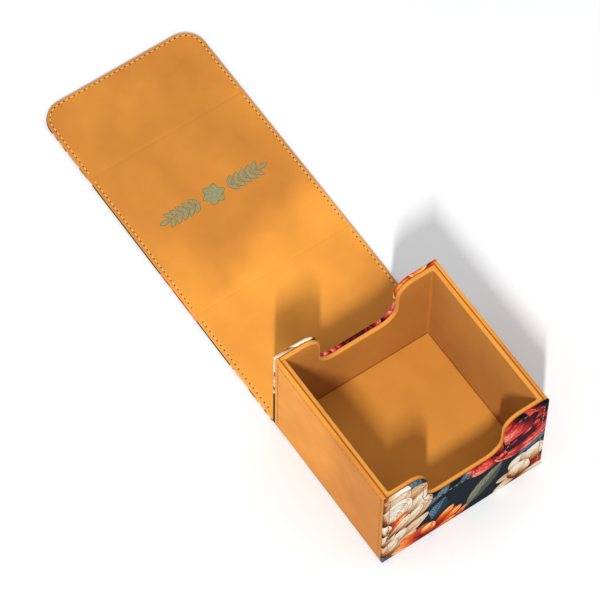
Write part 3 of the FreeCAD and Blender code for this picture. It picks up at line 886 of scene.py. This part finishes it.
def make_walls(prints, plain, sewing):
    """Printed notched walls front and back, plain hemmed walls at the sides, all sewn."""
    for name, sign in (("front", -1), ("back", 1), ("left", -1), ("right", 1)):
        foot = extent(f"{name}_wall_stitching")[0].z
        if name in prints:
            across, out, reach = (1, 0, 0), Vector((0, sign, 0)), half_depth
            shape, hollow, steps, seam = wall_shape, wall_cavity, WALL_STEPS, WALL_SEAM
            runs = notch_stretches(half_width, foot - 0.2, height, WALL_SEAM)[1:]
        else:
            across, out, reach = (0, 1, 0), Vector((sign, 0, 0)), half_width
            shape, hollow, steps, seam = side_shape, side_cavity, SIDE_STEPS, SIDE_SEAM
            end, hem = extent(f"{name}_cover")[1].y - SIDE_SEAM, height - HEM_DROP
            below = hem - 1.2
            left, right = [(-end, foot), (-end, below)], [(end, below), (end, foot)]
            runs = [left, [(-end, hem), (end, hem)], right]
        stand = standing(across, (0, 0, 1), out, out * (reach - PANEL))
        face = standing(across, (0, 0, 1), out, out * reach)
        places = shell_places(shape, hollow, PANEL - BOARD, BOARD, PANEL, EDGE, seam)
        skin = prints.get(name, plain)
        plate(f"{name}_skin", places, steps, stand, skin, "box", [f"{name}_cover"], (0,))
        sew(f"{name}_seam", sewing, runs, face, "box", f"{name}_wall_stitching")


def make_bottom(material):
    """The printed skin under the box, rounded where it turns up into the walls."""
    radius = 0.75

    def shape(inset):
        a, b = half_width - inset, half_depth - inset
        return box_stretches(-a, a, -b, b)

    rounded = [(0.6, 0.0), (0.0, 0.0)] + round_over(0.0, SKIN, radius) + [(3.0, SKIN)]
    places = [(shape, inset, depth, depth) for inset, depth in rounded]
    plate("bottom_skin", places, [24] * 4, level(SKIN, -1), material, "box", ["bottom_cover"])


def make_floor_pad(material):
    """The lined pad that lies loose in the bottom."""
    board = extent("floor_board")[1].z

    def shape(inset):
        return box_stretches(
            pad_low.x + inset, pad_high.x - inset, pad_low.y + inset, pad_high.y - inset
        )

    places = shell_places(shape, shape, 0.62, board - pad_low.z, pad_high.z - pad_low.z, 0.75)
    plate("floor_pad", places, [24] * 4, level(pad_low.z), material, "box", ["floor_lining"])


# ---------------------------------------------------------------- the sleeve

SLEEVE_BEND = 1.4
BEND_STEPS = 4


def sleeve_path():
    """Straights and bends of the sleeve's inner face, as (length, start, heading, centre)."""
    x, y = sleeve_high.x - SLEEVE, sleeve_high.y - SLEEVE
    r = SLEEVE_BEND
    legs = [
        ((-x, y - 0.1), (-x, r - y)),
        ((r - x, -y), (x - r, -y)),
        ((x, r - y), (x, y - r)),
        ((x - r, y), (-x - SLEEVE, y)),
    ]
    centres = [(r - x, r - y), (x - r, r - y), (x - r, y - r)]
    return legs, centres


def sleeve_marks():
    """Distances along the unrolled sleeve where each leg starts and ends."""
    bend = SLEEVE_BEND * math.pi / 2
    marks, run = [], 0.0
    for start, end in sleeve_path()[0]:
        marks.append((run, run + math.dist(start, end)))
        run = marks[-1][1] + bend
    return marks


def rolled(along_sleeve, up, out):
    """A point of the flat sleeve, rolled into place; its outer corners come out square."""
    legs, centres = sleeve_path()
    marks = sleeve_marks()
    for (start, end), (low, high) in zip(legs, marks):
        if low - 1e-6 <= along_sleeve <= high + 1e-6:
            heading = (np.array(end) - start) / math.dist(start, end)
            outward = np.array((heading[1], -heading[0]))
            return (*(start + heading * (along_sleeve - low) + outward * out), up)
    index = [n for n, (low, high) in enumerate(marks) if high < along_sleeve][-1]
    turn = (along_sleeve - marks[index][1]) / (SLEEVE_BEND * math.pi / 2) * math.pi / 2
    first = np.array(((-1.0, 0.0), (0.0, -1.0), (1.0, 0.0))[index])
    direction = first * math.cos(turn) + np.array((-first[1], first[0])) * math.sin(turn)
    square = (SLEEVE_BEND + SLEEVE) / max(math.cos(turn), math.sin(turn))
    reach = SLEEVE_BEND + (square - SLEEVE_BEND) * out / SLEEVE
    return (*(centres[index] + direction * reach), up)


def make_sleeve(material, lit_rim_material):
    """The lined inner sleeve: one notched strip folded round the inside and butted at a corner; its
    rounded rim wears a lighter copy of the lining, painted light where the rim faces up.
    """
    marks = sleeve_marks()
    total = marks[-1][1]
    bend = SLEEVE_BEND * math.pi / 2
    front_middle = (marks[1][0] + marks[1][1]) / 2
    back_middle = marks[3][0] + (sleeve_high.x - SLEEVE - SLEEVE_BEND)
    corners = []
    for low, high in marks[:3]:
        corners += [high + bend * step / BEND_STEPS for step in range(BEND_STEPS + 1)]

    def straight(start, end, up):
        """Stretches at one height, broken at every bend column between two places."""
        inside = [c for c in corners if min(start, end) < c < max(start, end)]
        stops = [start] + sorted(inside, reverse=end < start) + [end]
        return [((a, up), (b, up)) for a, b in zip(stops, stops[1:])]

    def shape(inset):
        foot = sleeve_low.z + tuck(inset)
        rim = height - inset
        ends = 0.3 * min(inset, EDGE) + 0.05 * inset
        notch = notch_stretches(half_width, foot, height, inset)[3:10]
        mouth = NOTCH_HALF + EAR_RADIUS
        parts = straight(ends, total - ends, foot)
        parts.append(((total - ends, foot), (total - ends, rim)))
        place = total - ends
        for middle in (back_middle, front_middle):
            parts += straight(place, middle + mouth, rim)
            for piece in notch:
                if len(piece) == 2:
                    parts.append(tuple((p[0] + middle, p[1]) for p in piece))
                else:
                    parts.append(((piece[0][0] + middle, piece[0][1]), *piece[1:]))
            place = middle - mouth
        parts += straight(place, ends, rim)
        parts.append(((ends, rim), (ends, foot)))
        return parts

    outline = shape(0.0)
    steps = [7 if len(p) == 4 else max(1, round(stretch_length(p) / 6.0)) for p in outline]
    soft = round_over(0.0, SLEEVE, 1.1, 5)
    profile = [(2.0, 0.0), (0.6, 0.0), (0.18, 0.18), (0.0, 0.6)] + soft + [(2.0, SLEEVE)]
    points, uvs = [], []
    for inset, depth in profile:
        flat = ring_points(shape(inset), steps)
        points.append(np.array([rolled(s, up, SLEEVE - depth) for s, up in flat]))
        uvs.append(np.array(flat))
    count = sum(steps)
    faces = stack_faces(len(profile), count, capped=False)
    starts = np.concatenate([[0], np.cumsum(steps)])
    foot_of, rim_of = {}, {}
    for piece, start in zip(outline, starts):
        if len(piece) == 2 and abs(piece[0][0] - piece[1][0]) > 1e-6:
            for column in corners:
                if abs(piece[0][0] - column) < 1e-6:
                    table = foot_of if piece[0][1] < height / 2 else rim_of
                    table[round(column, 6)] = int(start)
    keys = [round(column, 6) for column in corners]
    feet = [0] + [foot_of[key] for key in keys]
    rims = [count - 1] + [rim_of[key] for key in keys]
    rims.append(feet[-1] + 1)
    feet.append(feet[-1])
    for base in (0, count * (len(profile) - 1)):
        for step in range(len(keys) + 1):
            loop = [*range(feet[step], feet[step + 1] + 1), *range(rims[step + 1], rims[step] + 1)]
            face = tuple(base + index for index in loop)
            faces.append(face if base else face[::-1])
    points, uvs = np.concatenate(points), np.concatenate(uvs)
    piece = build_mesh("sleeve_skin", points, faces, uvs, material, 40.0)
    # the rim's lighter microfibre is painted light where it faces up
    piece.data.materials.append(lit_rim_material)
    rim_rings = range(3, 3 + len(soft))
    for polygon in piece.data.polygons:
        if polygon.index < count * (len(profile) - 1) and polygon.index // count in rim_rings:
            polygon.material_index = 1
    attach(piece, "box")
    boards = [f"{side}_sleeve_board" for side in ("front", "back", "left", "right")]
    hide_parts("sleeve_lining", *boards)


# ---------------------------------------------------------------- the flap

FLAP_STEPS = {"panel": [16, 24, 16, 24], "last": [16, 16, 9, 12, 9, 16]}
FLAP_EDGE = 0.65
LINING_FOOT = 0.8
COVER_EDGE = 0.3
LEDGE = -0.25  # the printed cover stands this far out past the lining
SEAM_CLEAR = 0.5  # the seams stop this far short of each fold


def panel_shape(near, far, last, draw=lambda inset: TUCK * max(0.0, inset - FLAP_EDGE)):
    """A flap panel's outline for each inset; draw is how far its folded sides draw back."""

    def shape(inset):
        if last:
            return flap_stretches(near + draw(inset), inset)
        a = half_width - inset
        return box_stretches(-a, a, near + draw(inset), far - draw(inset))

    return shape


def make_flap(lining, cover, sewing):
    """Three flap panels, each a lining and a printed cover round a board."""
    thick = flap_face - LINING_FOOT
    for body in ("flap_back", "flap_top", "flap_front"):
        low, high = extent(f"{body}_lining")
        last = body == "flap_front"
        shape = panel_shape(low.y, high.y, last)
        hollow = panel_shape(low.y, high.y, last, lambda inset: TUCK)
        steps = FLAP_STEPS["last" if last else "panel"]
        quiet = (0,) if last else (0, 2)
        places = shell_places(shape, hollow, 0.8, 0.8, thick, FLAP_EDGE, FLAP_SEAM)
        stand = level(LINING_FOOT)
        plate(f"{body}_lining_skin", places, steps, stand, lining, body, [f"{body}_lining"], quiet)
        outer = [(0.7, 0.0), (LEDGE, 0.0)] + round_over(LEDGE, LINING_FOOT, COVER_EDGE)
        outer.append((3.0, LINING_FOOT))
        places = [(shape, inset, depth, depth) for inset, depth in outer]
        stand = level(LINING_FOOT, -1)
        plate(f"{body}_cover_skin", places, steps, stand, cover, body, [f"{body}_cover"])
        if last:
            runs = flap_stretches(low.y + SEAM_CLEAR, FLAP_SEAM)[1:]
        else:
            seam = half_width - FLAP_SEAM
            start, end = low.y + SEAM_CLEAR, high.y - SEAM_CLEAR
            runs = [((seam, start), (seam, end)), ((-seam, end), (-seam, start))]
        sew(f"{body}_seam", sewing, runs, level(flap_face), body, f"{body}_stitching")


def strip(name, section, near, far, dip, centre, material, node):
    """A band across a hinge: one cross-section drawn from panel to panel, sinking between them."""
    stations = 11
    points, uvs = [], []
    for station in range(stations):
        share = station / (stations - 1)
        y = near + (far - near) * share
        sink = 1 - dip * (0.5 - 0.5 * math.cos(2 * math.pi * share))
        for (x, z), (u, v) in section:
            points.append((x, y, centre + (z - centre) * sink))
            uvs.append((u, y))
    faces = stack_faces(stations, len(section))
    piece = build_mesh(name, points, faces, uvs, material)
    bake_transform(piece)
    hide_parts(node)


def make_hinges(lining, cover):
    """Lining and cover bands where the boards stop and the leatherette bends."""
    thick = flap_face - LINING_FOOT
    raised = [(inset, LINING_FOOT + depth) for inset, depth in
              [(0.0, 0.0)] + round_over(0.0, thick, FLAP_EDGE) + seam_groove(FLAP_SEAM, thick)]
    reach = raised[-1][0]
    right = [((half_width - inset, z), (half_width - inset, 0)) for inset, z in raised]
    span = np.linspace(half_width - reach, reach - half_width, 13)[1:-1]
    middle = [((x, flap_face), (x, 0)) for x in span]
    left = [((-x, z), (-u, 0)) for (x, z), (u, _) in reversed(right)]
    floor = [((x, LINING_FOOT), (x, 0)) for x in -span]
    lining_section = right + middle + left + floor
    lowered = [(LEDGE, LINING_FOOT)] + [
        (inset, LINING_FOOT - depth)
        for inset, depth in round_over(LEDGE, LINING_FOOT, COVER_EDGE)
    ]
    cover_right = [((half_width - inset, z), (half_width - inset, 0)) for inset, z in lowered]
    cover_left = [((-x, z), (-u, 0)) for (x, z), (u, _) in reversed(cover_right)]
    span = np.linspace(half_width - 2, 2 - half_width, 13)
    under = [((x, 0.0), (x, 0)) for x in span]
    cover_section = cover_right + under + cover_left + [((x, LINING_FOOT), (x, 0)) for x in -span]
    for joint in frame["joints"]:
        place = joint["name"].replace("_hinge", "")
        low, high = extent(f"{place}_hinge_lining")
        for layer, section, dip, material in (
            ("lining", lining_section, 0.11, lining),
            ("cover", cover_section, 0.2, cover),
        ):
            name, node = f"{place}_crease_{layer}", f"{place}_hinge_{layer}"
            strip(name, section, low.y, high.y, dip, LINING_FOOT, material, node)


# ---------------------------------------------------------------- the foil ornament


def leaf_points(length, width, grow, rise):
    """A domed leaf from the origin along X, grown outwards by grow."""
    stations = 9
    outline = []
    for index in range(stations):
        share = index / (stations - 1)
        bulge = math.sin(math.pi * share) ** 0.8
        outline.append((share * (length + 2 * grow) - grow, 0.5 * (width + 2 * grow) * bulge))
    rim = outline + [(x, -y) for x, y in outline[-2:0:-1]]
    inner = [(length / 2 + 0.82 * (x - length / 2), 0.72 * y) for x, y in rim]
    points = [(x, y, -0.05) for x, y in rim] + [(x, y, 0.6 * rise) for x, y in rim]
    points += [(x, y, rise) for x, y in inner]
    return np.array(points), stack_faces(3, len(rim))


def make_emblem(foil_material, shade_outline_material):
    """A rosette between two leafy sprigs, pressed in foil, with a darker outline that is painted
    shade round the pressed edge.
    """
    low, high = extent("lid_emblem")
    centre = Vector((0, (low.y + high.y) / 2, flap_face))
    rosette, reach = 7.0, high.x
    leaves = [(0, 0, rosette, 4.6, turn) for turn in range(0, 360, 60)]
    stem_start = rosette + 2.0
    tip = 6.5
    stem = reach - tip - stem_start
    for side, turn in ((1, 0), (-1, 180)):
        leaves.append((side * stem_start, 0, stem, 0.9, turn))
        leaves.append((side * (stem_start + stem), 0, tip, 2.6, turn))
        for pair in range(5):
            foot = stem_start + stem * (pair + 0.3) / 5
            leaves += [(side * foot, 0, tip, 2.6, turn + lean) for lean in (-50, 50)]
    layers = (
        # a darker, slightly larger leaf under each foil leaf: painted shade round the pressed edge
        ("lid_emblem_outline", 0.32, 0.035, shade_outline_material, []),
        ("lid_emblem_foil", 0.0, 0.09, foil_material, ["lid_emblem"]),
    )
    for name, grow, rise, material, nodes in layers:
        points, faces = [], []
        for x, y, length, width, turn in leaves:
            shape, joins = leaf_points(length, width, grow, rise)
            turned = shape @ np.array(Matrix.Rotation(math.radians(turn), 3, "Z")).T
            base = sum(len(part) for part in points)
            points.append(turned + np.array(centre) + np.array((x, y, 0)))
            faces += [tuple(corner + base for corner in face) for face in joins]
        points = np.concatenate(points)
        piece = build_mesh(name, points, faces, points[:, :2], material)
        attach(piece, "flap_top")
        if nodes:
            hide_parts(*nodes)


# ---------------------------------------------------------------- everything

make_camera()
make_light()
make_floor(pale_floor())

groups = (
    stamp_group("flower", draw_flower),
    stamp_group("leaf", draw_leaf),
    stamp_group("petal", draw_petal),
)
FRONT_LEAVES = [
    (-33, 71, 30, 14, 7.5, SLATE), (-12, 40, 14, 14, 5.5, SLATE), (8, 42, 2, 13, 4.5, SLATE),
    (-17, 26, 68, 10, 6, SLATE), (45, 33, 28, 13, 6, SLATE), (-49, 3, 25, 9, 4.5, SLATE),
    (13.5, 21, 53, 19, 6.4, SAGE),
]
PEONY_PETALS = [
    (-35, 61, 38, 12, 9, 0.5), (-47, 71, 14, 11, 6.5, 0.04), (-45, 64, 50, 11, 8, 0.3),
    (-33, 50, 50, 13, 5, 0.1), (-28, 43, 47, 12, 5, 0.02), (-31, 37, 45, 14, 5.5, 0.42),
    (-35, 21, 37, 14.5, 5, 0.3), (-41, 11, 30, 12, 4.5, 0.36), (-37, 35, 46, 14, 4.5, 0.12),
    (-44, 20, 46, 10, 4, 0.04), (-50, 14, 40, 8, 5, 0.16), (-50, 26, 60, 9, 5, 0.06),
    (-45, 54, 62, 12, 10, 0.0), (-46, 52, 62, 9.6, 8, 0.22), (-46.5, 50, 62, 8, 6.4, 0.02),
    (-47, 48, 62, 6, 4.8, 0.26), (-48, 47, 62, 4.2, 3.2, 0.02), (-43, 34, 50, 11, 3.6, 0.1),
    (-45, 41.5, 52, 9, 2.3, 2.5), (-44, 39, 50, 9, 1.6, 2.06), (-51, 38, 95, 6, 4, 0.05),
]
ROSE_PETALS = [
    (50, 59, 80, 13, 7, 1.36), (47.5, 69, 60, 6.5, 5, 1.02), (43, 69, 200, 11, 8.5, 1.001),
    (36, 71, 20, 9, 5, 1.34), (16, 43, 196, 13, 6.5, 1.06), (17, 45.5, 192, 11, 5, 1.28),
    (5.5, 46.5, 190, 5.5, 2.8, 1.01), (36, 48, 282, 14.5, 19, 1.12),
    (36, 49.5, 282, 13, 17.5, 1.3), (37, 50.5, 282, 12, 16.5, 1.14),
    (37, 52, 282, 10.5, 15.5, 1.4), (35, 61, 226, 14, 5, 1.2), (29, 66.5, 232, 12.5, 8.5, 1.01),
    (36.5, 52, 22, 15, 8, 1.88), (37, 58.5, 205, 13, 2.4, 1.24), (44.5, 57, 80, 4.8, 2.6, 1.22),
    (37.5, 53, 35, 5, 1.5, 1.1), (46, 51, 60, 5, 1.8, 1.42), (30, 49, 25, 4, 1.3, 1.45),
    (21.5, 50, 100, 5, 3.6, 1.08), (21, 48, 100, 3, 2, 1.4), (25, 42.5, 110, 3.6, 2.4, 1.0101),
]
AMBER_PETALS = [
    (-33, 9, 160, 9, 5.5, 2.34), (-26, 8, 90, 9, 6, 2.62), (-14, 6, 40, 9, 5, 2.6),
    (-12.5, 12.5, 48, 8.5, 3.4, 2.1), (-10.5, 9, 44, 8, 2.2, 2.58),
    (-7.5, 7.5, 42, 8.5, 2.6, 2.08), (-2.5, 4.5, 38, 6.5, 2.2, 2.3), (-36, 3.6, 178, 10.5, 4, 2.1),
    (-13, 1, 20, 9, 3, 2.3), (-22.5, 8, 72, 6.6, 5.2, 2.02),
]
LOW_CREAM_PETALS = [
    (37, 20, 100, 9, 8, 0.1), (45, 21, 62, 10.5, 7.5, 0.03), (29, 12, 188, 7.5, 3.4, 0.36),
    (30, 5, 206, 11, 3.8, 0.1), (50, 9, -20, 7, 4.4, 2.6), (44, 2.5, 8, 10, 3.4, 0.12),
    (36.5, 11.5, 70, 8.2, 7.8, 0.02),
]
FRONT_PETALS = PEONY_PETALS + ROSE_PETALS + AMBER_PETALS + LOW_CREAM_PETALS
REST_LEAVES = [
    (-14, 84, 30, 15, 7, SAGE), (18, 128, 200, 14, 6, SLATE), (48, 72, 80, 13, 6, SAGE),
    (-12, 138, 100, 13, 6, SLATE), (-20, 186, -30, 15, 7, SLATE), (44, 176, 50, 13, 6, SAGE),
    (8, 192, 80, 12, 5.5, SAGE), (-30, 222, 60, 13, 6, SLATE), (20, 232, -40, 14, 6.5, SAGE),
    (-8, 268, 20, 16, 7, SAGE), (46, 238, 100, 13, 6, SLATE), (-12, 54, 75, 12, 6, SLATE),
    (-40, 120, 30, 18, 8, SLATE), (0, 75, -40, 18, 8, SAGE), (45, 150, 70, 16, 8, SLATE),
    (-34, 198, 100, 18, 8, SAGE), (10, 240, 10, 20, 8, SLATE), (0, 0, 40, 22, 9, SLATE),
    (-30, -30, 120, 20, 8, SAGE),
]
REST_BACK = [
    (-40, 72, 0, 24, CREAM), (38, 100, 40, 28, CREAM), (-36, 142, 80, 26, ROSE),
    (36, 200, 10, 26, ROSE), (-38, 250, 30, 28, CREAM), (35, 30, 0, 25, AMBER),
]
REST_FRONT = [
    (-14, 134, 15, 12, CREAM), (46, 146, 70, 11, CREAM), (-18, 244, 35, 11, ROSE),
    (6, 76, 35, 11, AMBER), (-44, 30, 35, 14, CREAM), (-10, 105, 20, 22, CREAM),
    (12, 167, 0, 24, AMBER), (-5, 215, 50, 22, AMBER), (30, 270, 30, 24, ROSE),
    (-30, -10, 30, 24, ROSE), (30, -35, 60, 22, CREAM),
]
BACK_LEAVES = [(0, 30, 80, 20, 9, SLATE), (30, 20, 30, 18, 8, SAGE)]
BACK_BACK = [(-38, 58, 0, 28, CREAM), (42, 60, 20, 26, AMBER), (-20, 10, 0, 24, AMBER)]
BACK_FRONT = [(2, 44, 40, 26, ROSE), (40, 12, 40, 22, CREAM)]
floral_front = floral_print("floral_front", groups, FRONT_LEAVES, [], [], FRONT_PETALS)
floral_back = floral_print("floral_back", groups, BACK_LEAVES, BACK_BACK, BACK_FRONT)
floral_rest = floral_print("floral_rest", groups, REST_LEAVES, REST_BACK, REST_FRONT)

leatherette = plain_leatherette()
flap_nap = microfibre(
    "flap_microfibre",
    [(0.0, (182, 112, 40)), (0.4, (207, 134, 49)), (0.7, (228, 150, 56)), (1.0, (246, 166, 63))],
    # the flap's paler patches: partly brushed nap, partly a painted pool of light
    [(-16, 120, 12, 72, 27), (-56, 88, 84, 72, 36), (36, 124, 30, 50, 28)],
)
pad_nap = microfibre("pad_microfibre", [(0.0, (208, 136, 52)), (1.0, (232, 158, 66))])
sleeve_nap = microfibre("sleeve_microfibre", [(0.0, (177, 109, 36)), (1.0, (200, 128, 45))])
# a lighter copy of the sleeve microfibre: painted light on the upward rim
lit_rim_nap = microfibre("rim_microfibre", [(0.0, (206, 132, 50)), (1.0, (230, 154, 62))])
outside_thread = thread("outside_sewing", (150, 88, 26), (208, 146, 66))
inside_thread = thread("inside_sewing", (222, 158, 80), (252, 206, 128))
needle_hole()
board_material = greyboard()
steel = magnet_steel()

make_walls({"front": floral_front, "back": floral_back}, leatherette, outside_thread)
make_bottom(floral_rest)
make_floor_pad(pad_nap)
make_sleeve(sleeve_nap, lit_rim_nap)
make_flap(flap_nap, floral_rest, inside_thread)
make_hinges(flap_nap, floral_rest)
make_emblem(
    foil("pressed_foil", (120, 118, 78), (168, 164, 118)),
    # the darker foil is painted shade round the pressed edge
    foil("foil_edge", (92, 76, 34), (120, 98, 46)),
)

for node, thing in frame["nodes"].items():
    chosen = steel if node.endswith("_magnets") else board_material
    if not thing.hide_render:
        for place in thing.material_slots:
            place.material = chosen
